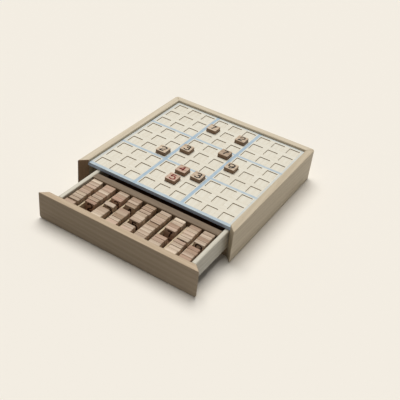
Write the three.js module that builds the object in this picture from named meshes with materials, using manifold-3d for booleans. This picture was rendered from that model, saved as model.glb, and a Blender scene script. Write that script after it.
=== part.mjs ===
// Wooden sudoku game: a square case, a board of square recesses, loose number tiles and a drawer that stores them.
// Millimetres, +Z up. The origin is the middle of the base's underside, +X runs along the front, +Y to the back.
// The drawer is modelled shut and its group then stands DRAWER_OPEN further out.
import * as THREE from "three";
import { mergeVertices } from "three/addons/utils/BufferGeometryUtils.js";
import Module from "manifold-3d";

// Number tiles
const TILE = 18;
const TILE_THICKNESS = 7.5;
const TILE_CORNER = 1.2;
const TILE_EASE = 0.5;
const TILE_SEAT = 0.2;

// Board: nine panels of square windows, three by three, glued on a backing whose tongue sits in the walls
const PANELS = 3;
const PANEL_CELLS = 3;
const RECESS_PLAY = 0.6;
const CELL_BAR = 9.4;
const BOARD_MARGIN = 6.7;
const PANEL_THICKNESS = 1.2;
const BACKING_THICKNESS = 4.4;
const BACKING_TONGUE = 4;

// Case
const WALL = 12;
const RIM = 4;
const BACK_CORNER_RADIUS = 6;
const WALL_TOE_RADIUS = 4;
const EDGE_EASE = 0.8;
const BASE_THICKNESS = 4;
const BASE_REBATE = 5;
const RAIL_DEPTH = 12;
const RUNNER_WIDTH = 14;
const RUNNER_HEIGHT = 10.5;
const GUIDE_WIDTH = 16;
const GUIDE_HEIGHT = 10;

// Drawer
const DRAWER_OPEN = 89;
const FRONT_THICKNESS = 11;
const FRONT_LIFT = 0.5;
const FRONT_TOE_RADIUS = 5;
const SIDE_THICKNESS = 7;
const SIDE_HEIGHT = 32.6;
const FLOOR_THICKNESS = 3;
const FLOOR_RAISE = 9.4;
const FLOOR_TONGUE = 3;
const DIVIDER_THICKNESS = 2.5;
const DIVIDER_HEIGHT = 11.3;
const PARTITION_THICKNESS = 13;
const REAR_BAY_DEPTH = 67;
const DRAWER_BACK_THICKNESS = 6;
const ROW_SPARE = 2.5;
const LEAN = THREE.MathUtils.degToRad(12);

// Clearances: a glue line, a fitted joint, a sliding face, and the closing gap in front of the board
const GLUE = 0.05;
const FIT = 0.3;
const SLIDE = 0.6;
const UNDER_BOARD = 0.8;
const FRONT_GAP = 0.5;
const MITRE_GAP = 0.6;

const WOOD_ROUGHNESS = 0.7;
const ARC_STEPS = 3;
const VERTEX_MERGE = 1e-4;
const BEYOND = 5;

// The cells, as column and row from the front left, where a tile lies on the board
const PLAYED_CELLS = [
  [2, 3],
  [3, 4],
  [3, 7],
  [5, 7],
  [5, 5],
  [6, 4],
  [4, 2],
  [4, 1],
  [5, 2],
];

// Tiles in each drawer compartment from left to right: against the back, leaning between, against the front
const STORED_TILES = [
  { back: 8, front: 1 },
  { back: 7 },
  { back: 3, leaning: 1, front: 3 },
  { back: 3, front: 5 },
  { back: 6, front: 2 },
  { back: 4, front: 5 },
  { back: 4, front: 3 },
  { back: 5, front: 4 },
  { back: 4, front: 4 },
];
const STORED_COUNTS = STORED_TILES.map(({ back, leaning = 0, front = 0 }) => back + leaning + front);
const MOST_STORED = Math.max(...STORED_COUNTS);

// Plan sizes that follow from the above
const recess = TILE + RECESS_PLAY;
const pitch = recess + CELL_BAR;
const cells = PANELS * PANEL_CELLS;
const boardSize = cells * recess + (cells - 1) * CELL_BAR + 2 * BOARD_MARGIN;
const insideWidth = boardSize + 2 * FIT;
const halfInside = insideWidth / 2;
const halfWidth = halfInside + WALL;
const caseDepth = FRONT_THICKNESS + FRONT_GAP + boardSize + FIT + WALL;
const frontY = -caseDepth / 2;
const backY = caseDepth / 2;
const insideBackY = backY - WALL;
const boardFrontY = frontY + FRONT_THICKNESS + FRONT_GAP;

// Heights, from the base up
const runnerTop = BASE_THICKNESS + RUNNER_HEIGHT;
const sideBottom = runnerTop + FIT;
const sideTop = sideBottom + SIDE_HEIGHT;
const backingBottom = sideTop + UNDER_BOARD;
const backingTop = backingBottom + BACKING_THICKNESS;
const panelBottom = backingTop + GLUE;
const panelTop = panelBottom + PANEL_THICKNESS;
const caseTop = panelTop + RIM;
const floorBottom = sideBottom + FLOOR_RAISE;
const floorTop = floorBottom + FLOOR_THICKNESS;

// The drawer box, shut: it runs against the right wall, and a guide fills the space on its left
const boxLeft = -halfInside + GUIDE_WIDTH + SLIDE;
const boxRight = halfInside - SLIDE;
const bayLeft = boxLeft + SIDE_THICKNESS;
const bayRight = boxRight - SIDE_THICKNESS;
const dividerCount = STORED_TILES.length - 1;
const compartment = (bayRight - bayLeft - dividerCount * DIVIDER_THICKNESS) / STORED_TILES.length;
const bayFrontY = frontY + FRONT_THICKNESS;
const bayBackY = bayFrontY + MOST_STORED * TILE_THICKNESS + ROW_SPARE;
const partitionBackY = bayBackY + PARTITION_THICKNESS;
const rearBayBackY = partitionBackY + REAR_BAY_DEPTH;
const drawerEndY = rearBayBackY + DRAWER_BACK_THICKNESS;

const wasm = await Module();
wasm.setup();

// A closed three.js geometry as a solid that can be joined and cut.
function solidOf(geometry) {
  const bare = geometry.index ? geometry.toNonIndexed() : geometry.clone();
  bare.deleteAttribute("normal");
  bare.deleteAttribute("uv");
  const merged = mergeVertices(bare, VERTEX_MERGE);
  return new wasm.Manifold(
    new wasm.Mesh({
      numProp: 3,
      vertProperties: merged.attributes.position.array,
      triVerts: new Uint32Array(merged.index.array),
    }),
  );
}

function geometryOf(solid) {
  const { numProp, vertProperties, triVerts } = solid.getMesh();
  const geometry = new THREE.BufferGeometry();
  geometry.setAttribute("position", new THREE.BufferAttribute(vertProperties, numProp));
  geometry.setIndex(new THREE.BufferAttribute(triVerts, 1));
  geometry.computeVertexNormals();
  return geometry;
}

function cut(geometry, ...cutters) {
  const left = cutters.reduce((solid, cutter) => solid.subtract(solidOf(cutter)), solidOf(geometry));
  return geometryOf(left);
}

function common(first, second) {
  return geometryOf(solidOf(first).intersect(solidOf(second)));
}

function outline(...corners) {
  return corners.map(([across, along]) => new THREE.Vector2(across, along));
}

function rectangle(left, right, low, high) {
  return outline([left, low], [right, low], [right, high], [left, high]);
}

// A quarter or part of a round corner, as points from one angle to another.
function roundCorner(centreX, centreY, radius, from, to) {
  return new THREE.EllipseCurve(centreX, centreY, radius, radius, from, to).getPoints(ARC_STEPS);
}

// A plan outline raised from low to high, with its upper and lower edges eased.
function slab(plan, low, high, ease = EDGE_EASE) {
  const shape = new THREE.Shape(plan);
  const geometry = new THREE.ExtrudeGeometry(shape, {
    depth: high - low - 2 * ease,
    bevelEnabled: ease > 0,
    bevelThickness: ease,
    bevelSize: ease,
    bevelOffset: -ease,
    bevelSegments: 1,
  });
  return geometry.translate(0, 0, low + ease);
}

function block(left, right, front, back, low, high, ease = 0) {
  return slab(rectangle(left, right, front, back), low, high, ease);
}

// An outline in X and Z, carried from front to back.
function alongY(profile, front, back) {
  const geometry = new THREE.ExtrudeGeometry(new THREE.Shape(profile), {
    depth: back - front,
    bevelEnabled: false,
  });
  return geometry.rotateX(Math.PI / 2).translate(0, back, 0);
}

// An outline in Y and Z, carried from left to right.
function alongX(profile, left, right) {
  const geometry = new THREE.ExtrudeGeometry(new THREE.Shape(profile), {
    depth: right - left,
    bevelEnabled: false,
  });
  return geometry.rotateX(Math.PI / 2).rotateZ(Math.PI / 2).translate(left, 0, 0);
}

function mirrored(plan) {
  return plan.map((point) => new THREE.Vector2(-point.x, point.y)).reverse();
}

function wood(color) {
  return new THREE.MeshStandardMaterial({ color, roughness: WOOD_ROUGHNESS, metalness: 0 });
}

function addPiece(group, name, geometry, material) {
  const mesh = new THREE.Mesh(geometry, material);
  mesh.name = name;
  group.add(mesh);
  return mesh;
}

// The slot that takes the backing's tongue, and the rebate that takes the base, shared by all three walls
const boardSlot = block(
  -halfInside - BACKING_TONGUE - FIT,
  halfInside + BACKING_TONGUE + FIT,
  boardFrontY - FIT,
  insideBackY + BACKING_TONGUE + FIT,
  backingBottom - FIT,
  backingTop + FIT,
);
const baseSlot = block(
  -halfInside - BASE_REBATE - FIT,
  halfInside + BASE_REBATE + FIT,
  boardFrontY - FIT,
  insideBackY + BASE_REBATE + FIT,
  -BEYOND,
  BASE_THICKNESS + FIT,
);

// A side wall seen from above: a mitre at the drawer front, a rounded outer corner and a mitre at the back.
function sideWallPlan() {
  const corner = roundCorner(
    halfWidth - BACK_CORNER_RADIUS,
    backY - BACK_CORNER_RADIUS,
    BACK_CORNER_RADIUS,
    0,
    Math.PI / 4,
  );
  return [
    ...outline([halfInside, frontY + WALL], [halfWidth, frontY]),
    ...corner,
    ...outline([halfInside, insideBackY]),
  ];
}

// The back wall between the mitres, a glue line behind the side walls.
function backWallPlan() {
  const corner = roundCorner(
    halfWidth - BACK_CORNER_RADIUS,
    backY - BACK_CORNER_RADIUS,
    BACK_CORNER_RADIUS,
    Math.PI / 4,
    Math.PI / 2,
  );
  const right = [...outline([halfInside, insideBackY]), ...corner];
  const plan = [...right, ...mirrored(right)];
  return plan.map((point) => new THREE.Vector2(point.x, point.y + GLUE));
}

// Side view of a side wall with its lower front corner rounded off.
function wallSideView() {
  const toe = roundCorner(
    frontY + WALL_TOE_RADIUS,
    WALL_TOE_RADIUS,
    WALL_TOE_RADIUS,
    Math.PI,
    1.5 * Math.PI,
  );
  return [
    ...toe,
    ...outline([backY + BEYOND, 0], [backY + BEYOND, caseTop], [frontY, caseTop]),
  ];
}

function makeCase() {
  const group = new THREE.Group();
  const wallWood = wood(0xc7ab84);
  const innerWood = wood(0xb59a74);
  const wallTrim = alongX(wallSideView(), -halfWidth - BEYOND, halfWidth + BEYOND);
  const rightWall = common(slab(sideWallPlan(), 0, caseTop), wallTrim);
  const leftWall = common(slab(mirrored(sideWallPlan()), 0, caseTop), wallTrim);
  addPiece(group, "left_wall", cut(leftWall, boardSlot, baseSlot), wallWood);
  addPiece(group, "right_wall", cut(rightWall, boardSlot, baseSlot), wallWood);
  addPiece(group, "back_wall", cut(slab(backWallPlan(), 0, caseTop), boardSlot, baseSlot), wallWood);

  const base = block(
    -halfInside - BASE_REBATE,
    halfInside + BASE_REBATE,
    boardFrontY,
    insideBackY + BASE_REBATE,
    0,
    BASE_THICKNESS,
  );
  addPiece(group, "base_panel", base, innerWood);

  const railBackY = boardFrontY + RAIL_DEPTH;
  const railBottom = BASE_THICKNESS + GLUE;
  const wallLeft = -halfInside + GLUE;
  const wallRight = halfInside - GLUE;
  const rail = block(wallLeft, wallRight, boardFrontY, railBackY, railBottom, runnerTop, EDGE_EASE);
  addPiece(group, "front_rail", rail, innerWood);

  const runnerFront = railBackY + GLUE;
  const runnerBack = insideBackY - GLUE;
  const rightRunner = block(
    halfInside - RUNNER_WIDTH,
    wallRight,
    runnerFront,
    runnerBack,
    railBottom,
    runnerTop,
  );
  addPiece(group, "right_runner", rightRunner, innerWood);
  const guideRight = -halfInside + GUIDE_WIDTH;
  const leftProfile = outline(
    [wallLeft, railBottom],
    [guideRight + RUNNER_WIDTH, railBottom],
    [guideRight + RUNNER_WIDTH, runnerTop],
    [guideRight, runnerTop],
    [guideRight, runnerTop + GUIDE_HEIGHT],
    [wallLeft, runnerTop + GUIDE_HEIGHT],
  );
  addPiece(group, "left_runner", alongY(leftProfile, runnerFront, runnerBack), innerWood);
  return group;
}

function cellCentre(column, row) {
  const first = BOARD_MARGIN + recess / 2;
  return [-boardSize / 2 + first + column * pitch, boardFrontY + first + row * pitch];
}

// How far a seam between panels lies from the board's edge: half way across a bar, or at the edge itself.
function seam(index) {
  if (index === 0) {
    return 0;
  }
  return index === PANELS ? boardSize : BOARD_MARGIN + index * PANEL_CELLS * pitch - CELL_BAR / 2;
}

// One panel of the board, with a window cut through at each of its cells.
function cellPanel(panelColumn, panelRow) {
  const edgeX = -boardSize / 2;
  const sheet = block(
    edgeX + seam(panelColumn),
    edgeX + seam(panelColumn + 1) - GLUE,
    boardFrontY + seam(panelRow),
    boardFrontY + seam(panelRow + 1) - GLUE,
    panelBottom,
    panelTop,
  );
  const windows = [];
  for (let column = 0; column < PANEL_CELLS; column++) {
    for (let row = 0; row < PANEL_CELLS; row++) {
      const [x, y] = cellCentre(panelColumn * PANEL_CELLS + column, panelRow * PANEL_CELLS + row);
      const [left, right] = [x - recess / 2, x + recess / 2];
      const [front, back] = [y - recess / 2, y + recess / 2];
      windows.push(block(left, right, front, back, panelBottom - BEYOND, panelTop + BEYOND));
    }
  }
  return cut(sheet, ...windows);
}

// Tiles face to face along Y from 0: an eight-sided outline in X and Z, drawn in where two tiles meet.
function tileRow(count) {
  const rings = [[0, TILE_EASE]];
  for (let k = 0; k < count; k++) {
    const start = k * TILE_THICKNESS;
    const end = start + TILE_THICKNESS;
    rings.push([start + TILE_EASE, 0], [end - TILE_EASE, 0], [end, TILE_EASE]);
  }
  const positions = rings.flatMap(([y, inset]) => {
    const far = TILE / 2 - inset;
    const near = TILE / 2 - TILE_CORNER;
    const middle = TILE / 2;
    const corners = outline(
      [near, -far],
      [far, -near],
      [far, near],
      [near, far],
      [-near, far],
      [-far, near],
      [-far, -near],
      [-near, -far],
    );
    return corners.flatMap((corner) => [corner.x, y, middle + corner.y]);
  });
  const sides = positions.length / 3 / rings.length;
  const faces = [];
  for (let ring = 0; ring + 1 < rings.length; ring++) {
    for (let side = 0; side < sides; side++) {
      const a = ring * sides + side;
      const b = ring * sides + ((side + 1) % sides);
      faces.push(a, a + sides, b, b, a + sides, b + sides);
    }
  }
  const last = (rings.length - 1) * sides;
  for (let side = 1; side + 1 < sides; side++) {
    faces.push(0, side, side + 1, last, last + side + 1, last + side);
  }
  const geometry = new THREE.BufferGeometry();
  geometry.setAttribute("position", new THREE.Float32BufferAttribute(positions, 3));
  geometry.setIndex(faces);
  geometry.computeVertexNormals();
  return geometry;
}

function makeBoard() {
  const group = new THREE.Group();
  const backing = block(
    -halfInside - BACKING_TONGUE,
    halfInside + BACKING_TONGUE,
    boardFrontY,
    insideBackY + BACKING_TONGUE,
    backingBottom,
    backingTop,
  );
  addPiece(group, "board_backing", backing, wood(0xeadfc8));
  const panelWood = wood(0xefe6d0);
  for (let row = 0; row < PANELS; row++) {
    for (let column = 0; column < PANELS; column++) {
      const name = `cell_panel_${row * PANELS + column + 1}`;
      addPiece(group, name, cellPanel(column, row), panelWood);
    }
  }

  const tileWood = wood(0xc79f7a);
  PLAYED_CELLS.forEach(([column, row], index) => {
    const tile = addPiece(group, `board_tile_${index + 1}`, tileRow(1), tileWood);
    const [x, y] = cellCentre(column, row);
    tile.rotation.x = Math.PI / 2;
    tile.position.set(x, y + TILE / 2, backingTop + TILE_SEAT);
  });
  return group;
}

// The drawer front seen from above, with ends cut to meet the side walls' mitres.
function frontPlan() {
  const outer = halfWidth - MITRE_GAP;
  const inner = outer - FRONT_THICKNESS;
  return outline([-outer, frontY], [outer, frontY], [inner, bayFrontY], [-inner, bayFrontY]);
}

// The drawer front seen face on, with its two lower corners rounded.
function frontView() {
  const centreX = halfWidth - MITRE_GAP - FRONT_TOE_RADIUS;
  const centreZ = FRONT_LIFT + FRONT_TOE_RADIUS;
  const right = roundCorner(centreX, centreZ, FRONT_TOE_RADIUS, 1.5 * Math.PI, 2 * Math.PI);
  const rightSide = [...right, ...outline([halfWidth - MITRE_GAP, sideTop])];
  return [...rightSide, ...mirrored(rightSide)];
}

function drawerSide(left, right, slot) {
  const side = block(left, right, bayFrontY + GLUE, drawerEndY, sideBottom, sideTop, EDGE_EASE);
  return cut(side, slot);
}

// The tiles of one compartment, centred across it and set against its back and its front.
function addStoredTiles(group, name, centreX, { back, leaning = 0, front = 0 }, tileWood) {
  const seat = floorTop + TILE_SEAT;
  const backStart = bayBackY - FIT - back * TILE_THICKNESS;
  const frontEnd = bayFrontY + FIT + front * TILE_THICKNESS;
  addPiece(group, `${name}_back`, tileRow(back), tileWood).position.set(centreX, backStart, seat);
  if (front) {
    const row = addPiece(group, `${name}_front`, tileRow(front), tileWood);
    row.position.set(centreX, bayFrontY + FIT, seat);
  }
  if (leaning) {
    const row = addPiece(group, `${name}_leaning`, tileRow(leaning), tileWood);
    const reach = TILE * Math.sin(LEAN) + leaning * TILE_THICKNESS * Math.cos(LEAN);
    const start = (frontEnd + backStart - reach) / 2 + TILE * Math.sin(LEAN);
    row.rotation.x = LEAN;
    row.position.set(centreX, start, seat);
  }
}

function makeDrawer() {
  const group = new THREE.Group();
  group.position.y = -DRAWER_OPEN;
  const frontWood = wood(0x9c8769);
  const sideWood = wood(0xc4b79c);
  const dividerWood = wood(0xd8c6a4);
  const tileWood = wood(0xc79f7a);

  const front = common(
    slab(frontPlan(), FRONT_LIFT, sideTop),
    alongY(frontView(), frontY - BEYOND, bayFrontY + BEYOND),
  );
  addPiece(group, "drawer_front", front, frontWood);

  const floorSlot = block(
    bayLeft - FLOOR_TONGUE - FIT,
    bayRight + FLOOR_TONGUE + FIT,
    bayFrontY - BEYOND,
    drawerEndY + BEYOND,
    floorBottom - FIT,
    floorTop + FIT,
  );
  addPiece(group, "drawer_left_side", drawerSide(boxLeft, bayLeft, floorSlot), sideWood);
  addPiece(group, "drawer_right_side", drawerSide(bayRight, boxRight, floorSlot), sideWood);
  const floor = block(
    bayLeft - FLOOR_TONGUE,
    bayRight + FLOOR_TONGUE,
    bayFrontY + GLUE,
    drawerEndY,
    floorBottom,
    floorTop,
  );
  addPiece(group, "drawer_floor", floor, dividerWood);

  const between = [bayLeft + GLUE, bayRight - GLUE];
  const standing = floorTop + GLUE;
  const partition = block(...between, bayBackY, partitionBackY, standing, sideTop, EDGE_EASE);
  addPiece(group, "drawer_partition", partition, sideWood);
  const back = block(...between, rearBayBackY, drawerEndY, standing, sideTop, EDGE_EASE);
  addPiece(group, "drawer_back", back, sideWood);

  STORED_TILES.forEach((stored, index) => {
    const left = bayLeft + index * (compartment + DIVIDER_THICKNESS);
    addStoredTiles(group, `tile_row_${index + 1}`, left + compartment / 2, stored, tileWood);
    if (index < dividerCount) {
      const divider = block(
        left + compartment,
        left + compartment + DIVIDER_THICKNESS,
        bayFrontY + GLUE,
        bayBackY - GLUE,
        standing,
        standing + DIVIDER_HEIGHT,
      );
      addPiece(group, `divider_${index + 1}`, divider, dividerWood);
    }
  });
  return group;
}

const game = new THREE.Group();
game.add(makeCase(), makeBoard(), makeDrawer());
export default game;
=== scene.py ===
"""Looks of a wooden sudoku game: a case with a board of recesses, number tiles and a drawer for them.

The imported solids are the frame. The board's face, the tiles and their printed digits are new surfaces
worked out with numpy; the walls, the drawer and its dividers keep their solids and get wood finishes.
Metres, +Z up, as the solids.
"""

import math

import bpy
import numpy as np
from mathutils import Matrix, Vector


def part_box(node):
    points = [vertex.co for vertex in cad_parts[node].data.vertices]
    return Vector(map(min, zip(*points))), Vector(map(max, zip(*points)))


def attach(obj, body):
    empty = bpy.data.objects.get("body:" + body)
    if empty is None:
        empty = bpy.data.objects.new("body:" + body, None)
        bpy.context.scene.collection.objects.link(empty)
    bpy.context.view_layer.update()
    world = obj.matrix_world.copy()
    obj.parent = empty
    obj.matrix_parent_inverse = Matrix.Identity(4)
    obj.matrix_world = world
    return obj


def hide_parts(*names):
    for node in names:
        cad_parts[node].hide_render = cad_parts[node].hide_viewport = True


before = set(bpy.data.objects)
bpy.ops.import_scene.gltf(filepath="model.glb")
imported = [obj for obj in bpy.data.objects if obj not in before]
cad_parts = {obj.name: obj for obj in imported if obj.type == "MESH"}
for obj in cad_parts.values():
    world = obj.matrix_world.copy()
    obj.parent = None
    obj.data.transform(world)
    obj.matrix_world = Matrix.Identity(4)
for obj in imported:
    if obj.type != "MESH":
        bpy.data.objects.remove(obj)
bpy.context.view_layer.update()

MM = 0.001

# Board
CELLS = 9
BOX_CELLS = 3
PITCH = 28 * MM
RECESS = 18.6 * MM
RECESS_CORNER = 0.8 * MM
RECESS_LIP = 0.15 * MM
BOARD_MARGIN = 6.7 * MM
PANELS = [f"cell_panel_{k}" for k in range(1, 10)]

# How far the scorch reaches over the face, and its strength at a recess wall's foot, top and lip
SCORCH_REACH = 0.55 * MM
SCORCH_FOOT, SCORCH_TOP, SCORCH_LIP = 1.0, 0.8, 0.4

# Painted lines round the boxes: their widths, how much further in the line along the front edge reaches,
# how soft their borders are and how far those wander
COLUMN_LINE = 5.6 * MM
ROW_LINE = 4.8 * MM
FRONT_LINE_REACH = 1.6 * MM
LINE_SOFTNESS = 0.3 * MM
LINE_WOBBLE = 0.5 * MM

# How strongly the row lines are painted, and the lines along the left, right and back edges
ROW_LINE_STRENGTH = 0.85
EDGE_LINE_STRENGTH = 0.4

# Inner lines lie within the first distance from the board's middle, and edge lines beyond the second
INNER_LINES_WITHIN = 2 * PITCH
EDGE_LINES_BEYOND = 4 * PITCH

# Number tiles: a stored one leaves a gap to the next, and one on the board a gap below its solid's top
TILE = 18 * MM
TILE_PITCH = 7.5 * MM
STORED_THICKNESS = TILE_PITCH - 0.2 * MM
BOARD_THICKNESS = TILE_PITCH - 0.1 * MM
TILE_CORNER = 1.2 * MM
TILE_EASE = 0.3 * MM
LEAN = math.radians(12)

# How far a tile may be turned, in degrees
BOARD_TILE_TURN = 1.2
STORED_TILE_TURN = 0.5

# How far a compartment's rows lie to the right of its middle; the others lie anywhere near it
ROW_SHIFTS = {"1": 1.1 * MM, "8": 1.1 * MM, "9": -1.1 * MM}
ROW_SHIFT_SPREAD = 0.7 * MM

# How far a stored tile strays sideways from its row, and how high it may stand above its place
TILE_SHIFT_SPREAD = 0.8 * MM
TILE_LIFT = 0.5 * MM

# A stored tile's share of the full thickness, at the least, and the power that makes thin ones rare
STORED_TILE_THINNEST = 0.83
THIN_TILE_RARITY = 3

# Printed digits; the ink's top is flat over a share of its width, and a stroke's end is not quite a point
DIGIT_HEIGHT = 11 * MM
DIGIT_WIDENING = 1.15
INK_WIDTH = 2.5 * MM
INK_PROUD = 0.06 * MM
INK_SUNK = 0.1 * MM
INK_FLAT = 0.9
INK_END = 0.02

# Steps of round corners and smooth paths, and how much of a leg each round of smoothing cuts off
CORNER_STEPS = 6
EASE_STEPS = 3
SMOOTH_ROUNDS = 4
CORNER_CUT = 0.25

# Points closer than this are one: on the board, and on a stroke that is 1 high
WELD = 0.01 * MM
STROKE_WELD = 1e-6

# Edges that bend by more than this stay sharp
SHARP_BEND = math.radians(50)

# The printed digit on each board tile, in the order of the tiles' nodes, and which are red or dark
BOARD_DIGITS = [2, 3, 7, 2, 7, 9, 4, 5, 3]
RED_TILES = {7, 8}
DARK_TILES = {5}

# How light a tile's wood is, from 0 to 1, and how far its dark tone goes from rosy to tan
BOARD_TILE_TINTS = (0.42, 0.7)
RED_TILE_TINT = 0.38
STORED_TILE_TINTS = (0.0, 1.0)
STORED_TILE_TONES = (0.15, 1.0)

# How far a board tile's faces and its sawn edges are darkened, from 0 to 1, and a stored tile's edges; a
# board tile's edges are partly browned and partly painted shade
BOARD_TILE_BROWNING_AND_SHADE = (0.0, 0.75)
DARK_TILE_BROWNING_AND_SHADE = (0.35, 0.85)
STORED_TILE_BROWNINGS = (0.0, 0.42)

# Each digit as one stroke, 1 high: rough points whose corners are rounded, a doubled point's less so
STROKES = {
    1: [(-0.2, 0.26), (0.05, 0.5), (0.05, 0.5), (0.05, -0.5)],
    2: [(-0.28, 0.22), (-0.26, 0.56), (0.34, 0.6), (0.34, 0.06), (-0.12, -0.18), (-0.32, -0.5),
        (-0.32, -0.5), (-0.1, -0.5), (0.32, -0.5)],
    3: [(-0.27, 0.42), (-0.05, 0.56), (0.32, 0.54), (0.34, 0.08), (-0.04, 0.06), (-0.04, 0.06),
        (0.4, 0.06), (0.38, -0.54), (-0.06, -0.58), (-0.3, -0.38)],
    4: [(0.32, -0.2), (-0.32, -0.2), (-0.32, -0.2), (0.14, 0.5), (0.14, 0.5), (0.14, 0.1), (0.14, -0.5)],
    5: [(0.28, 0.5), (-0.2, 0.5), (-0.2, 0.5), (-0.26, 0.02), (-0.26, 0.02), (0.1, 0.22), (0.42, -0.04),
        (0.36, -0.54), (-0.06, -0.58), (-0.3, -0.38)],
    6: [(0.22, 0.48), (-0.12, 0.5), (-0.36, 0.1), (-0.36, -0.56), (0.38, -0.62), (0.38, 0.14),
        (-0.06, 0.16), (-0.3, -0.16)],
    7: [(-0.3, 0.5), (0.3, 0.5), (0.3, 0.5), (0.06, 0.1), (-0.08, -0.5)],
    8: [(0.24, 0.3), (0.24, 0.56), (-0.32, 0.58), (-0.36, 0.12), (0.4, 0.06), (0.4, -0.6), (-0.4, -0.6),
        (-0.4, 0.06), (0.28, 0.08), (0.26, 0.34)],
    9: [(0.3, 0.16), (0.06, -0.16), (-0.38, -0.14), (-0.38, 0.62), (0.36, 0.56), (0.36, -0.1),
        (0.12, -0.5), (-0.22, -0.48)],
}


def srgb(red, green, blue):
    """A colour of 0 to 255 steps as the linear values that shaders take."""
    share = np.array([red, green, blue]) / 255
    linear = np.where(share <= 0.04045, share / 12.92, ((share + 0.055) / 1.055) ** 2.4)
    return (*linear.tolist(), 1.0)


# Each wood's light and dark tone
WALL_WOOD = srgb(214, 201, 176), srgb(180, 163, 136)
# The right wall is the walls' wood darkened: painted shade
SHADED_RIGHT_WALL_WOOD = srgb(202, 187, 160), srgb(168, 150, 122)
# The drawer front is the walls' wood darkened: painted shade
SHADED_FRONT_WOOD = srgb(201, 179, 150), srgb(163, 140, 110)
SIDE_WOOD = srgb(214, 208, 192), srgb(184, 176, 156)
# The drawer floor and back are dark brown as painted shade inside the drawer and its rear bay
SHADED_FLOOR_WOOD = srgb(118, 80, 48), srgb(86, 54, 30)
# The partition is dark brown as painted shade under the board's front edge
SHADED_CROSS_WOOD = srgb(120, 100, 76), srgb(90, 71, 50)
INNER_WOOD = srgb(186, 164, 132), srgb(146, 122, 92)
DIVIDER_PLY = srgb(222, 206, 176), srgb(186, 164, 130)
BOARD_PLY = srgb(227, 222, 206), srgb(212, 202, 181)

# Tile wood, from the lightest tone to the sawn edges' dark tone: browning, and painted shade on board tiles
TILE_LIGHT = srgb(244, 226, 200)
TILE_ROSY = srgb(200, 158, 138)
TILE_TAN = srgb(173, 149, 120)
TILE_DARK = srgb(136, 106, 78)
TILE_BROWNED_AND_SHADED = srgb(110, 74, 44)

# Each paint's and ink's full and thin colour, and the scorch's light and deep one
PAINT = srgb(156, 178, 194), srgb(177, 194, 202)
EDGE_PAINT = srgb(180, 196, 217), srgb(196, 208, 223)
BLACK_INK = srgb(10, 8, 7), srgb(24, 19, 16)
# Stored tiles bear the same black print; this browner, paler copy of it is painted shade, dulling the print
# as the drawer's shade does
SHADED_STORED_INK = srgb(58, 37, 24), srgb(86, 59, 42)
RED_INK = srgb(116, 28, 25), srgb(134, 46, 39)
SCORCH = srgb(150, 126, 90), srgb(108, 86, 56)

# The left wall's mitre: an end grain tone, darkened further as painted shade
END_GRAIN_AND_SHADE = srgb(146, 116, 86)
PAPER = srgb(244, 238, 227)

# How strongly the grain shows, from 0 to 1
PLAIN_FIGURE = 0.65
WALL_FIGURE = 0.45
FRONT_FIGURE = 0.5
BOARD_FIGURE = 0.55
BACKING_FIGURE = 0.6
DIVIDER_FIGURE = 0.7
TILE_FIGURE = 0.6

# Roughness, and by how much it is higher between the fibres and lower on them
PLAIN_ROUGHNESS = 0.58
BOARD_ROUGHNESS = 0.5
BACKING_ROUGHNESS = 0.55
DIVIDER_ROUGHNESS = 0.6
TILE_ROUGHNESS = 0.56
ROUGHER_BETWEEN = 0.08
SMOOTHER_ON = 0.06

# The ink's roughness where it is full and thin, and how far it mirrors
INK_ROUGHNESS = (0.5, 0.65)
INK_GLOSS = 0.15

# Depth of the fibres' relief on most wood and on the board's plywood, and how much of it shows
WOOD_RELIEF = 0.15 * MM
PLY_RELIEF = 0.06 * MM
RELIEF_STRENGTH = 0.5

# Grain units to a metre, across the grain and along it, the way that a shift goes into the wood, and how
# far in metres a tile's own start strays
GRAIN_ACROSS = 60.0
GRAIN_ALONG = 3.0
GRAIN_START = np.array([1.0, 0.7, 1.3])
GRAIN_STRAY = 0.5

# Repeats of the grain's features in a grain unit
FIGURE_SCALE = 0.9
GROWTH_LINE_SCALE = 1.3
FIBRE_SCALE = 16.0
PORE_SCALE = 34.0

# How much of the tone is figure, how dark fibres and pores are, and how deep pores are beside fibres
FIGURE_SHARE = 0.8
FIBRE_SHARE = 0.35
PORE_SHARE = 0.4
PORE_DEPTH = 0.6

# Patches to a metre along the lines' borders and in paint, scorch and ink
LINE_WOBBLES = 260.0
PAINT_PATCHES = 90.0
SCORCH_FLECKS = 700.0
SCORCH_PATCHES = 420.0
INK_PATCHES = 900.0

# Noise levels over which each feature comes in
FIGURE_SPAN = (0.25, 0.75)
FIBRE_SPAN = (0.3, 0.7)
PORE_SPAN = (0.62, 0.72)
RELIEF_SPAN = (0.2, 0.8)
PAINT_SPAN = (0.35, 0.75)
FLECK_SPAN = (0.2, 0.8)
SCORCH_SPAN = (0.35, 0.7)
INK_SPAN = (0.4, 0.75)

# How strong the flecks leave the scorch, and the strengths over which it comes to cover the wood
FLECK_STRENGTHS = (0.75, 1.15)
BURN_SPAN = (0.05, 0.8)

# The left wall's mitre, browner as end grain and darker as painted shade, the backing's layers and painted
# edge, and the dividers' middle layer
END_GRAIN_AND_SHADE_DEPTH = 1.2 * MM
BACKING_LAYERS = 3
BACKING_LAYER_SPAN = (0.3, 0.7)
BACKING_LAYER_SHOWS = 0.5
EDGE_PAINT_FROM, EDGE_PAINT_FULL = 0.4 * MM, 0.1 * MM
CORE_FROM, CORE_FULL = 0.22, 0.16
CORE_SHOWS = 0.7
DIVIDER_TOP_FROM, DIVIDER_TOP_FULL = 0.3 * MM, 0.1 * MM

# Floor: its bounced light goes from dim in front of the drawer to bright beside and behind the case
FLOOR_SIZE = 12.0
FLOOR_BOUNCE_DIM = 0.27
FLOOR_BOUNCE_BRIGHT = 0.9
FLOOR_DIM_TO, FLOOR_BRIGHT_FROM = -0.25, -0.04
FLOOR_BRIGHTER_RIGHT = 0.5
FLOOR_ROUGHNESS = 0.9
FLOOR_GLOSS = 0.1

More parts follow.
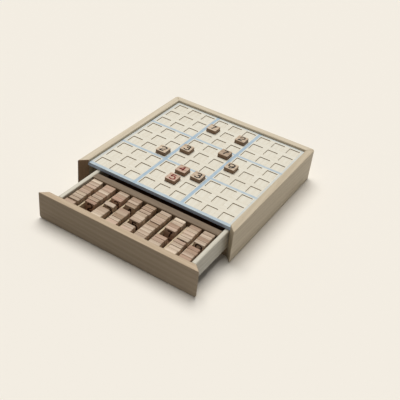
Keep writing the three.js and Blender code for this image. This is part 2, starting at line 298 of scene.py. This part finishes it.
# Light
LIGHT_FROM = Vector((-0.22, 0.26, 0.94)).normalized()
SKY_FILL = 0.17
KEY_SPREAD = math.radians(42)
KEY_LEVEL = 0.87

# The photograph's camera, in millimetres and degrees
CAMERA_EYE = Vector((440.3, -819.7, 655.3))
CAMERA_AZIMUTH = 27.86
CAMERA_ELEVATION = 36.49
CAMERA_ROLL = 6.89
CAMERA_LENS = 61.27
CAMERA_SENSOR = 36.0

draws = np.random.default_rng(5)


# Shapes


def ring_faces(rings, sides):
    """Quads between each ring of points and the next, all the way round."""
    ring = np.arange(rings - 1)[:, None] * sides
    side = np.arange(sides)[None, :]
    after = (side + 1) % sides
    quads = np.stack([ring + side, ring + after, ring + sides + after, ring + sides + side], -1)
    return quads.reshape(-1, 4)


def rounded_square(half, corner):
    """A square with round corners: each point is a corner's centre plus the radius along its angle."""
    quarter = np.arange(4)[:, None]
    turn = (quarter + np.linspace(0, 1, CORNER_STEPS + 1)[None, :]) * (math.pi / 2)
    middle = (quarter + 0.5) * (math.pi / 2)
    x = (half - corner) * np.sign(np.cos(middle)) + corner * np.cos(turn)
    y = (half - corner) * np.sign(np.sin(middle)) + corner * np.sin(turn)
    return np.stack([x, y], -1).reshape(-1, 2)


def tile_surface():
    """One tile, with the middle of its underside at the origin: the rounded square goes round, while the
    second parameter climbs from the underside over a quarter circle, up the edge and over another quarter
    circle to the printed face. Also gives which points lie on the sawn edge."""
    turn = np.linspace(0, math.pi / 2, EASE_STEPS + 1)
    lower = np.stack([TILE_EASE * (1 - np.sin(turn)), TILE_EASE * (1 - np.cos(turn))], -1)
    upper = np.stack([lower[::-1, 0], STORED_THICKNESS - lower[::-1, 1]], -1)
    climb = np.vstack([lower, upper])
    rings = [rounded_square(TILE / 2 - inset, TILE_CORNER - inset) for inset in climb[:, 0]]
    outline = np.stack(rings)
    height = np.broadcast_to(climb[:, 1, None, None], (*outline.shape[:2], 1))
    points = np.concatenate([outline, height], -1)
    sides = points.shape[1]
    flat = np.minimum(climb[:, 1], STORED_THICKNESS - climb[:, 1]) < TILE_EASE / 2
    edge = np.repeat(np.where(flat, 0.0, 1.0), sides)
    faces = ring_faces(len(climb), sides).tolist()
    last = (len(climb) - 1) * sides
    faces.append(list(range(sides))[::-1])
    faces.append(list(range(last, last + sides)))
    return points.reshape(-1, 3), faces, edge


def smooth_path(points):
    """A path with cut corners: each round puts two points on every leg, a quarter in from its ends."""
    path = np.asarray(points, float)
    for _ in range(SMOOTH_ROUNDS):
        near = (1 - CORNER_CUT) * path[:-1] + CORNER_CUT * path[1:]
        far = CORNER_CUT * path[:-1] + (1 - CORNER_CUT) * path[1:]
        legs = np.stack([near, far], 1).reshape(-1, 2)
        path = np.vstack([path[:1], legs, path[-1:]])
    keep = np.hypot(*np.diff(path, axis=0, prepend=path[:1] - 1).T) > STROKE_WELD
    return path[keep]


def digit_surface(digit):
    """A digit's pen stroke on the plane of zero height: a low flat-topped profile carried along the
    smoothed path, which narrows to a round end over half the pen's width at both ends."""
    path = smooth_path(STROKES[digit]) * DIGIT_HEIGHT * np.array([DIGIT_WIDENING, 1])
    step = np.hypot(*np.diff(path, axis=0).T)
    travelled = np.concatenate([[0], np.cumsum(step)])
    tangent = np.gradient(path, travelled, axis=0)
    tangent /= np.linalg.norm(tangent, axis=1, keepdims=True)
    across = np.stack([-tangent[:, 1], tangent[:, 0]], -1)
    to_end = np.minimum(travelled, travelled[-1] - travelled)
    pen = INK_WIDTH / 2
    missing = 1 - np.clip(to_end / pen, INK_END, 1)
    half = pen * np.sqrt(1 - missing**2)
    side = np.array([1, INK_FLAT, -INK_FLAT, -1])
    rise = np.array([-INK_SUNK, INK_PROUD, INK_PROUD, -INK_SUNK])
    flat = path[:, None, :] + across[:, None, :] * (half[:, None] * side[None, :])[..., None]
    height = np.broadcast_to(rise[None, :, None], (*flat.shape[:2], 1))
    points = np.concatenate([flat, height], -1)
    faces = ring_faces(len(path), 4).tolist()
    last = 4 * (len(path) - 1)
    faces += [[0, 1, 2, 3], [last + 3, last + 2, last + 1, last]]
    return points.reshape(-1, 3), faces


def board_surface(low, high):
    """The sheet of windows. In every cell the window's outline goes round, and the second parameter climbs
    its wall, crosses a small lip, runs out over the face to the cell's border and comes back along the
    underside. Border cells reach to the sheet's edge, which is closed by one strip. Also gives how scorched
    each point is."""
    wall = rounded_square(RECESS / 2, RECESS_CORNER)
    lip = rounded_square(RECESS / 2 + RECESS_LIP, RECESS_CORNER + RECESS_LIP)
    halo = rounded_square(RECESS / 2 + SCORCH_REACH, RECESS_CORNER + SCORCH_REACH)
    border = wall * (PITCH / 2 / np.abs(wall).max(1))[:, None]
    rings = np.stack([wall, wall, lip, halo, border, border])
    border_ring = 4
    heights = np.array([low.z, high.z - RECESS_LIP, high.z, high.z, high.z, low.z])
    scorch = np.array([SCORCH_FOOT, SCORCH_TOP, SCORCH_LIP, 0.0, 0.0, 0.0])
    first = np.array(low[:2]) + BOARD_MARGIN + RECESS / 2
    column, row = np.meshgrid(np.arange(CELLS), np.arange(CELLS), indexing="ij")
    centre = first + PITCH * np.stack([column, row], -1).reshape(-1, 1, 1, 2)
    flat = centre + rings[None]
    reach = BOARD_MARGIN - (PITCH - RECESS) / 2 + WELD
    outer = flat[:, border_ring:]
    outer[:] = np.where(outer < np.array(low[:2]) + reach, np.array(low[:2]), outer)
    outer[:] = np.where(outer > np.array(high[:2]) - reach, np.array(high[:2]), outer)
    height = np.broadcast_to(heights[None, :, None, None], (*flat.shape[:3], 1))
    points = np.concatenate([flat, height], -1)
    cells, ring_count, sides = points.shape[:3]
    strips = ring_faces(ring_count + 1, sides).reshape(ring_count, sides, 4) % (ring_count * sides)
    start = np.arange(cells)[:, None, None, None] * ring_count * sides
    quads = start + strips[None]
    inner = np.delete(quads, border_ring, axis=1).reshape(-1, 4)
    top = points[:, border_ring, :, :2]
    following = np.roll(top, -1, axis=1)
    at_end = (top == np.array(low[:2])) | (top == np.array(high[:2]))
    on_edge = ((top == following) & at_end).any(-1)
    edge = quads[:, border_ring][on_edge]
    faces = np.vstack([inner, edge])
    burn = np.broadcast_to(scorch[None, :, None], points.shape[:3])
    return welded(points.reshape(-1, 3), faces, burn.reshape(-1))


def welded(points, faces, value):
    """The same surface with points that coincide made one."""
    steps = np.round(points / WELD).astype(np.int64)
    _, chosen, number = np.unique(steps, axis=0, return_index=True, return_inverse=True)
    return points[chosen], number.reshape(-1)[faces], value[chosen]


def turned(tilt, spin):
    """A rotation by spin about Z after a tilt about X."""
    return np.array(Matrix.Rotation(spin, 3, "Z") @ Matrix.Rotation(tilt, 3, "X"))


# Pieces


def new_piece(name, points, faces, material, body, values=None):
    """A finished piece at the origin: a mesh of the points, smooth but for its sharp edges, on its body."""
    mesh = bpy.data.meshes.new(name)
    mesh.from_pydata(np.asarray(points).tolist(), [], [list(face) for face in faces])
    for key, value in (values or {}).items():
        value = np.asarray(value, float)
        kind = "FLOAT_VECTOR" if value.ndim == 2 else "FLOAT"
        field = "vector" if value.ndim == 2 else "value"
        mesh.attributes.new(key, kind, "POINT").data.foreach_set(field, value.reshape(-1))
    mesh.shade_smooth()
    mesh.set_sharp_from_angle(angle=SHARP_BEND)
    mesh.materials.append(material)
    piece = bpy.data.objects.new(name, mesh)
    bpy.context.scene.collection.objects.link(piece)
    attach(piece, body)
    return piece


def add_tiles(name, node, turns, places, thinning, wood_values, material):
    """The tiles of one node as one piece: each tile's surface is thinned, turned and moved to its place,
    and its grain starts somewhere else in the wood. The wood's values are each tile's tint, tone and
    darkening, which on a board tile's sawn edges is partly browning and partly painted shade."""
    tints, tones, darkening = wood_values
    points, faces, edge = tile_surface()
    count = len(places)
    thinned = points[None] * np.stack([np.ones(count), np.ones(count), thinning], -1)[:, None, :]
    all_points = np.einsum("nij,nkj->nki", turns, thinned) + places[:, None, :]
    starts = np.arange(count) * len(points)
    all_faces = [[start + index for index in face] for start in starts.tolist() for face in faces]
    grain_place = points[None] + draws.uniform(-GRAIN_STRAY, GRAIN_STRAY, (count, 1, 3))
    values = {
        "grain": grain_place.reshape(-1, 3),
        "tint": np.repeat(tints, len(points)),
        "tone": np.repeat(tones, len(points)),
        "brown_and_shade": (darkening[:, :1] + (darkening[:, 1:] - darkening[:, :1]) * edge).reshape(-1),
    }
    piece = new_piece(name, all_points.reshape(-1, 3), all_faces, material, node, values)
    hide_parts(node)


def add_digit(name, body, digit, turn, place, material):
    """A digit printed on a tile's face: place is the middle of the face."""
    points, faces = digit_surface(digit)
    new_piece(name, points @ turn.T + place, faces, material, body)


def add_board_tile(number, digit, finishes):
    """A tile that lies in its recess with its digit up, a little turned."""
    node = f"board_tile_{number}"
    low, high = map(np.array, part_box(node))
    turn = turned(0, math.radians(draws.uniform(-BOARD_TILE_TURN, BOARD_TILE_TURN)))
    middle = (low + high) / 2
    place = np.array([middle[0], middle[1], low[2]])
    red = number in RED_TILES
    tint = np.full(1, RED_TILE_TINT if red else draws.uniform(*BOARD_TILE_TINTS))
    tone = np.full(1, 0.0 if red else 1.0)
    # A board tile's sawn edges are darkened past browning, as painted shade on its sides
    darkening = np.array([DARK_TILE_BROWNING_AND_SHADE if number in DARK_TILES else BOARD_TILE_BROWNING_AND_SHADE])
    thinning = np.full(1, BOARD_THICKNESS / STORED_THICKNESS)
    wood_values = (tint, tone, darkening)
    add_tiles(f"number_{node}", node, turn[None], place[None], thinning, wood_values, finishes["tile"])
    ink = finishes["red ink" if red else "black ink"]
    face = place + np.array([0, 0, BOARD_THICKNESS])
    add_digit(f"digit_{node}", node, digit, turn, face, ink)


def add_tile_row(node, digit, finishes):
    """Stored tiles on edge, printed faces to the front, each a little out of line with the next."""
    low, high = map(np.array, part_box(node))
    lean = LEAN if "leaning" in node else 0.0
    count = 1 if lean else round((high[1] - low[1]) / TILE_PITCH)
    spin = np.radians(draws.uniform(-STORED_TILE_TURN, STORED_TILE_TURN, count))
    tilt = math.pi / 2 + lean + np.radians(draws.uniform(-STORED_TILE_TURN, STORED_TILE_TURN, count)) / 2
    turns = np.stack([turned(*angles) for angles in zip(tilt, spin)])
    any_shift = draws.uniform(-ROW_SHIFT_SPREAD, ROW_SHIFT_SPREAD)
    row_shift = ROW_SHIFTS.get(node.split("_")[2], any_shift)
    stray = draws.uniform(-TILE_SHIFT_SPREAD, TILE_SHIFT_SPREAD, count)
    middle = np.stack(
        [
            (low[0] + high[0]) / 2 + row_shift + stray,
            low[1] + (np.arange(count) + 0.5) * TILE_PITCH,
            (low[2] + high[2]) / 2 + draws.uniform(0, TILE_LIFT, count),
        ],
        -1,
    )
    if lean:
        middle[:, 1] = (low[1] + high[1]) / 2
    thinning = 1 - (1 - STORED_TILE_THINNEST) * draws.uniform(0, 1, count) ** THIN_TILE_RARITY
    half = np.array([0, 0, STORED_THICKNESS / 2])
    places = middle - turns @ half * thinning[:, None]
    tints = draws.uniform(*STORED_TILE_TINTS, count)
    tones = draws.uniform(*STORED_TILE_TONES, count)
    darkening = np.stack([np.zeros(count), draws.uniform(*STORED_TILE_BROWNINGS, count)], -1)
    wood_values = (tints, tones, darkening)
    add_tiles(f"stored_{node}", node, turns, places, thinning, wood_values, finishes["tile"])
    face = places[0] + turns[0] @ (2 * half) * thinning[0]
    # The stored digit's ink is painted shade: a dulled copy of the black print
    add_digit(f"digit_{node}", node, digit, turns[0], face, finishes["shaded stored ink"])


def add_board_face(material):
    """The sheet of windows, from the first panel's low corner to the last panel's high corner."""
    low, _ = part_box(PANELS[0])
    _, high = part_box(PANELS[-1])
    points, faces, burn = board_surface(low, high)
    piece = new_piece("board_face", points, faces, material, "case", {"burn": burn})
    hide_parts(*PANELS)


def dress(material, *nodes):
    """Gives solids of the frame their finish."""
    for node in nodes:
        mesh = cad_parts[node].data
        mesh.materials.clear()
        mesh.materials.append(material)


# Shader nodes


def add(tree, kind, inputs=(), **settings):
    """Adds a shader node. An input is a value, or another node's output."""
    made = tree.nodes.new("ShaderNode" + kind)
    for name, value in settings.items():
        setattr(made, name, value)
    for key, value in dict(inputs).items():
        if isinstance(value, bpy.types.NodeSocket):
            tree.links.new(value, made.inputs[key])
        else:
            made.inputs[key].default_value = value
    return made


def sums(tree, operation, first, second=0.0):
    """One sum of one or two values, such as ADD, MAXIMUM or ABSOLUTE."""
    return add(tree, "Math", {0: first, 1: second}, operation=operation).outputs[0]


def noise(tree, vector, scale, detail=2.0):
    """Soft random patches between 0 and 1, about 0.5 on average."""
    return add(tree, "TexNoise", {"Vector": vector, "Scale": scale, "Detail": detail}).outputs["Fac"]


def fade(tree, value, start, end, low=0.0, high=1.0):
    """Goes smoothly from low to high while the value goes from start to end."""
    inputs = {"Value": value, "From Min": start, "From Max": end, "To Min": low, "To Max": high}
    return add(tree, "MapRange", inputs, interpolation_type="SMOOTHSTEP").outputs[0]


def blend(tree, share, first, second, how="MIX"):
    """The second colour over the first by its share."""
    made = add(tree, "Mix", {0: share, 6: first, 7: second}, data_type="RGBA", blend_type=how)
    return made.outputs[2]


def attribute(tree, name, output="Fac"):
    """A value that the piece's points carry."""
    return add(tree, "Attribute", attribute_name=name).outputs[output]


def object_place(tree):
    """Where a point lies in the frame, in metres."""
    return add(tree, "TexCoord").outputs["Object"]


def new_finish(name):
    """A new material, its nodes and its shader."""
    material = bpy.data.materials.new(name)
    material.use_nodes = True
    tree = material.node_tree
    return material, tree, tree.nodes["Principled BSDF"]


# Finishes


def along_grain(tree, place, along, shift=0.0):
    """Coordinates for grain: one unit is about 17 mm across the grain and twenty times that along it. The
    shift starts a piece somewhere else in the wood."""
    scale = [GRAIN_ACROSS] * 3
    scale["XYZ".index(along)] = GRAIN_ALONG
    inputs = {"Vector": place, "Location": (shift * GRAIN_START).tolist(), "Scale": scale}
    return add(tree, "Mapping", inputs).outputs[0]


def grain(tree, vector, light, dark, strength):
    """Wood colour: slow figure and growth lines between a light and a dark tone, then fine fibres and a few
    pores. Also gives the fibres' relief."""
    figure = noise(tree, vector, FIGURE_SCALE, detail=3.0)
    waver = {"Distortion": 5.0, "Detail": 2.0, "Detail Scale": 0.8}
    inputs = {"Vector": vector, "Scale": GROWTH_LINE_SCALE, **waver}
    lines = add(tree, "TexWave", inputs, bands_direction="DIAGONAL", wave_profile="SIN").outputs["Fac"]
    fibres = noise(tree, vector, FIBRE_SCALE, detail=3.0)
    pores = fade(tree, noise(tree, vector, PORE_SCALE, detail=1.0), *PORE_SPAN)
    from_figure = sums(tree, "MULTIPLY", figure, FIGURE_SHARE)
    tone = sums(tree, "ADD", from_figure, sums(tree, "MULTIPLY", lines, 1 - FIGURE_SHARE))
    colour = blend(tree, fade(tree, tone, *FIGURE_SPAN, 0.0, strength), light, dark)
    streak = fade(tree, fibres, *FIBRE_SPAN, 0.0, FIBRE_SHARE * strength)
    colour = blend(tree, streak, colour, dark)
    colour = blend(tree, sums(tree, "MULTIPLY", pores, PORE_SHARE * strength), colour, dark, "MULTIPLY")
    relief = sums(tree, "SUBTRACT", fibres, sums(tree, "MULTIPLY", pores, PORE_DEPTH))
    return colour, relief


def sanded(tree, shader, colour, relief, roughness, depth=WOOD_RELIEF):
    """Joins a wood colour to its shader, with the fibres in the roughness and as a shallow relief."""
    tree.links.new(colour, shader.inputs["Base Color"])
    rough = fade(tree, relief, *RELIEF_SPAN, roughness + ROUGHER_BETWEEN, roughness - SMOOTHER_ON)
    tree.links.new(rough, shader.inputs["Roughness"])
    bump = add(tree, "Bump", {"Height": relief, "Strength": RELIEF_STRENGTH, "Distance": depth})
    tree.links.new(bump.outputs[0], shader.inputs["Normal"])


def wood(name, tones, along, strength, shift):
    """A sanded wood whose grain runs along one axis of the object."""
    material, tree, shader = new_finish(name)
    vector = along_grain(tree, object_place(tree), along, shift)
    colour, relief = grain(tree, vector, *tones, strength)
    sanded(tree, shader, colour, relief, PLAIN_ROUGHNESS)
    return material


def left_wall_finish():
    """The walls' wood, browner at the front mitre for its end grain and darker there as painted shade."""
    material, tree, shader = new_finish("left wall wood")
    place = object_place(tree)
    colour, relief = grain(tree, along_grain(tree, place, "Y"), *WALL_WOOD, WALL_FIGURE)
    low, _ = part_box("left_wall")
    axes = add(tree, "SeparateXYZ", {0: place})
    behind = sums(tree, "SUBTRACT", axes.outputs[1], axes.outputs[0])
    behind_mitre = sums(tree, "SUBTRACT", behind, low.y - low.x)
    # Only the left wall's mitre is darkened: end grain and painted shade
    on_mitre = fade(tree, behind_mitre, END_GRAIN_AND_SHADE_DEPTH, END_GRAIN_AND_SHADE_DEPTH / 2)
    sanded(tree, shader, blend(tree, on_mitre, colour, END_GRAIN_AND_SHADE), relief, PLAIN_ROUGHNESS)
    return material


def painted_lines(tree, place):
    """How far paint covers the board, from 0 to 1: most where the nearest line between boxes is closer than
    half the line's width. The line along the front edge reaches further in, and those along the other
    edges are fainter."""
    low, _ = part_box(PANELS[0])
    first_line = np.array(low[:2]) + BOARD_MARGIN - (PITCH - RECESS) / 2
    axes = add(tree, "SeparateXYZ", {0: place})
    from_first = [sums(tree, "SUBTRACT", axes.outputs[axis], float(first_line[axis])) for axis in (0, 1)]
    off_column, off_row = [sums(tree, "PINGPONG", gone, BOX_CELLS * PITCH / 2) for gone in from_first]
    across, behind = [sums(tree, "SUBTRACT", gone, CELLS * PITCH / 2) for gone in from_first]
    reach = fade(tree, behind, -EDGE_LINES_BEYOND, -INNER_LINES_WITHIN, FRONT_LINE_REACH, 0.0)
    off_row = sums(tree, "SUBTRACT", off_row, reach)
    edges = (INNER_LINES_WITHIN, EDGE_LINES_BEYOND)
    column_strength = fade(tree, sums(tree, "ABSOLUTE", across), *edges, 1.0, EDGE_LINE_STRENGTH)
    row_strength = fade(tree, behind, *edges, ROW_LINE_STRENGTH, EDGE_LINE_STRENGTH)
    wobble = sums(tree, "SUBTRACT", noise(tree, place, LINE_WOBBLES), 0.5)
    wobble = sums(tree, "MULTIPLY", wobble, LINE_WOBBLE)
    lines = []
    for off_line, width, strength in (
        (off_column, COLUMN_LINE, column_strength),
        (off_row, ROW_LINE, row_strength),
    ):
        outside, inside = width / 2 + LINE_SOFTNESS, width / 2 - LINE_SOFTNESS
        line = fade(tree, sums(tree, "ADD", off_line, wobble), outside, inside)
        lines.append(sums(tree, "MULTIPLY", line, strength))
    return sums(tree, "MAXIMUM", *lines)


def board_finish():
    """Pale plywood: faint grain, painted lines round each box of nine cells, and scorched window walls."""
    material, tree, shader = new_finish("board plywood")
    place = object_place(tree)
    colour, relief = grain(tree, along_grain(tree, place, "X", shift=2.0), *BOARD_PLY, BOARD_FIGURE)
    paint = blend(tree, fade(tree, noise(tree, place, PAINT_PATCHES, detail=4.0), *PAINT_SPAN), *PAINT)
    colour = blend(tree, painted_lines(tree, place), colour, paint)
    flecks = fade(tree, noise(tree, place, SCORCH_FLECKS, detail=3.0), *FLECK_SPAN, *FLECK_STRENGTHS)
    burnt = fade(tree, sums(tree, "MULTIPLY", attribute(tree, "burn"), flecks), *BURN_SPAN)
    char = blend(tree, fade(tree, noise(tree, place, SCORCH_PATCHES, detail=3.0), *SCORCH_SPAN), *SCORCH)
    sanded(tree, shader, blend(tree, burnt, colour, char), relief, BOARD_ROUGHNESS, PLY_RELIEF)
    return material


def backing_finish():
    """Recess floors: pale plywood whose front edge is painted, with its layers faint below the paint."""
    material, tree, shader = new_finish("board backing plywood")
    place = object_place(tree)
    colour, relief = grain(tree, along_grain(tree, place, "Y", shift=5.0), *BOARD_PLY, BACKING_FIGURE)
    low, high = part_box("board_backing")
    axes = add(tree, "SeparateXYZ", {0: place})
    layer = (high.z - low.z) / BACKING_LAYERS
    plies = sums(tree, "PINGPONG", sums(tree, "SUBTRACT", axes.outputs[2], low.z), layer)
    span = [share * layer for share in BACKING_LAYER_SPAN]
    shows = fade(tree, plies, *span, 0.0, BACKING_LAYER_SHOWS)
    on_edge = fade(tree, axes.outputs[1], low.y + EDGE_PAINT_FROM, low.y + EDGE_PAINT_FULL)
    colour = blend(tree, on_edge, colour, blend(tree, shows, *EDGE_PAINT))
    sanded(tree, shader, colour, relief, BACKING_ROUGHNESS, PLY_RELIEF)
    return material


def divider_finish():
    """Thin plywood: its top shows a darker middle layer, which repeats from divider to divider."""
    material, tree, shader = new_finish("divider plywood")
    place = object_place(tree)
    colour, relief = grain(tree, along_grain(tree, place, "Y", shift=8.0), *DIVIDER_PLY, DIVIDER_FIGURE)
    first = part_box("divider_1")
    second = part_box("divider_2")
    middle = (first[0].x + first[1].x) / 2
    spacing = second[0].x - first[0].x
    thickness = first[1].x - first[0].x
    top = first[1].z
    axes = add(tree, "SeparateXYZ", {0: place})
    off_middle = sums(tree, "PINGPONG", sums(tree, "SUBTRACT", axes.outputs[0], middle), spacing / 2)
    core = fade(tree, off_middle, thickness * CORE_FROM, thickness * CORE_FULL)
    on_top = fade(tree, axes.outputs[2], top - DIVIDER_TOP_FROM, top - DIVIDER_TOP_FULL)
    shows = sums(tree, "MULTIPLY", sums(tree, "MULTIPLY", core, on_top), CORE_SHOWS)
    sanded(tree, shader, blend(tree, shows, colour, DIVIDER_PLY[1]), relief, DIVIDER_ROUGHNESS)
    return material


def tile_finish():
    """Tile wood: every tile has its own tone and stretch of grain, and its sawn edges are browner; on board
    tiles they are darker still as painted shade.
    """
    material, tree, shader = new_finish("tile wood")
    vector = along_grain(tree, attribute(tree, "grain", "Vector"), "X")
    dull = blend(tree, attribute(tree, "tone"), TILE_ROSY, TILE_TAN)
    light = blend(tree, attribute(tree, "tint"), dull, TILE_LIGHT)
    colour, relief = grain(tree, vector, light, TILE_DARK, TILE_FIGURE)
    # Browned sawn edges; on board tiles the darkening is partly painted shade
    colour = blend(tree, attribute(tree, "brown_and_shade"), colour, TILE_BROWNED_AND_SHADED)
    sanded(tree, shader, colour, relief, TILE_ROUGHNESS)
    return material


def ink_finish(name, full, thin):
    """Printed ink, thinner in patches where the wood drank it."""
    material, tree, shader = new_finish(name)
    patches = fade(tree, noise(tree, object_place(tree), INK_PATCHES, detail=3.0), *INK_SPAN)
    tree.links.new(blend(tree, patches, full, thin), shader.inputs["Base Color"])
    tree.links.new(fade(tree, patches, 0.0, 1.0, *INK_ROUGHNESS), shader.inputs["Roughness"])
    shader.inputs["Specular IOR Level"].default_value = INK_GLOSS
    return material


# Stage, light and camera


def seen_directly(tree):
    """1 where the camera, a reflection or glass sees the surface, and 0 where it only sends light back."""
    path = add(tree, "LightPath")
    seen = sums(tree, "MAXIMUM", path.outputs["Is Camera Ray"], path.outputs["Is Glossy Ray"])
    return sums(tree, "MAXIMUM", seen, path.outputs["Is Transmission Ray"])


def make_floor():
    """A pale floor that sends less light back in front of the drawer than beside and behind the case."""
    half = FLOOR_SIZE / 2
    corners = [(-half, -half, 0), (half, -half, 0), (half, half, 0), (-half, half, 0)]
    mesh = bpy.data.meshes.new("floor")
    mesh.from_pydata(corners, [], [(0, 1, 2, 3)])
    material, tree, shader = new_finish("pale floor")
    axes = add(tree, "SeparateXYZ", {0: object_place(tree)})
    rightward = sums(tree, "MULTIPLY", axes.outputs[0], FLOOR_BRIGHTER_RIGHT)
    behind = sums(tree, "ADD", axes.outputs[1], rightward)
    bounce = fade(tree, behind, FLOOR_DIM_TO, FLOOR_BRIGHT_FROM, FLOOR_BOUNCE_DIM, FLOOR_BOUNCE_BRIGHT)
    tree.links.new(blend(tree, seen_directly(tree), bounce, PAPER), shader.inputs["Base Color"])
    shader.inputs["Roughness"].default_value = FLOOR_ROUGHNESS
    shader.inputs["Specular IOR Level"].default_value = FLOOR_GLOSS
    mesh.materials.append(material)
    floor = bpy.data.objects.new("floor", mesh)
    bpy.context.scene.collection.objects.link(floor)


def make_sky():
    """A dim even sky, which looks as pale as the floor where it is seen."""
    world = bpy.data.worlds.new("studio")
    bpy.context.scene.world = world
    world.use_nodes = True
    tree = world.node_tree
    fill = (SKY_FILL,) * 3 + (1.0,)
    colour = blend(tree, seen_directly(tree), fill, PAPER)
    tree.links.new(colour, tree.nodes["Background"].inputs["Color"])


def make_key_light():
    """A wide, even light from above and a little behind, so that tops are light and fronts are in shade."""
    lamp = bpy.data.lights.new("key", "SUN")
    lamp.angle = KEY_SPREAD
    lamp.energy = KEY_LEVEL * math.pi
    key = bpy.data.objects.new("key", lamp)
    key.rotation_euler = LIGHT_FROM.to_track_quat("Z", "Y").to_euler()
    bpy.context.scene.collection.objects.link(key)


def make_camera():
    """The plain camera that comes nearest to the photograph's view."""
    lens = bpy.data.cameras.new("camera")
    lens.sensor_width = CAMERA_SENSOR
    lens.lens = CAMERA_LENS
    camera = bpy.data.objects.new("camera", lens)
    turn = Matrix.Rotation(math.radians(CAMERA_AZIMUTH), 3, "Z")
    tilt = Matrix.Rotation(math.radians(90 - CAMERA_ELEVATION), 3, "X")
    roll = Matrix.Rotation(math.radians(CAMERA_ROLL), 3, "Z")
    camera.matrix_world = Matrix.Translation(CAMERA_EYE * MM) @ (turn @ tilt @ roll).to_4x4()
    bpy.context.scene.collection.objects.link(camera)
    bpy.context.scene.camera = camera


# The game

finishes = {
    "tile": tile_finish(),
    "black ink": ink_finish("black ink", *BLACK_INK),
    "red ink": ink_finish("red ink", *RED_INK),
    "shaded stored ink": ink_finish("shaded stored ink", *SHADED_STORED_INK),
}
add_board_face(board_finish())
for number, digit in enumerate(BOARD_DIGITS, 1):
    add_board_tile(number, digit, finishes)
for node in sorted(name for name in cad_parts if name.startswith("tile_row")):
    add_tile_row(node, int(node.split("_")[2]), finishes)

# Each plain wood: its name, tones, the axis of its grain, how strongly it shows, its start, and its solids
PLAIN_WOODS = [
    ("shaded right wall wood", SHADED_RIGHT_WALL_WOOD, "Y", WALL_FIGURE, 2.0, ["right_wall"]),
    ("back wall wood", WALL_WOOD, "X", WALL_FIGURE, 3.0, ["back_wall"]),
    ("base wood", INNER_WOOD, "X", PLAIN_FIGURE, 6.0, ["base_panel", "front_rail"]),
    ("runner wood", INNER_WOOD, "Y", PLAIN_FIGURE, 7.0, ["left_runner", "right_runner"]),
    ("shaded drawer front wood", SHADED_FRONT_WOOD, "X", FRONT_FIGURE, 1.0, ["drawer_front"]),
    ("drawer side wood", SIDE_WOOD, "Y", PLAIN_FIGURE, 4.0, ["drawer_left_side", "drawer_right_side"]),
    ("shaded drawer cross wood", SHADED_CROSS_WOOD, "X", PLAIN_FIGURE, 9.0, ["drawer_partition"]),
    ("shaded drawer floor wood", SHADED_FLOOR_WOOD, "X", PLAIN_FIGURE, 11.0, ["drawer_floor", "drawer_back"]),
]
for *finish, nodes in PLAIN_WOODS:
    dress(wood(*finish), *nodes)
dress(left_wall_finish(), "left_wall")
dress(backing_finish(), "board_backing")
dress(divider_finish(), *[f"divider_{k}" for k in range(1, 9)])

make_floor()
make_sky()
make_key_light()
make_camera()
bpy.context.scene.view_settings.view_transform = "Standard"
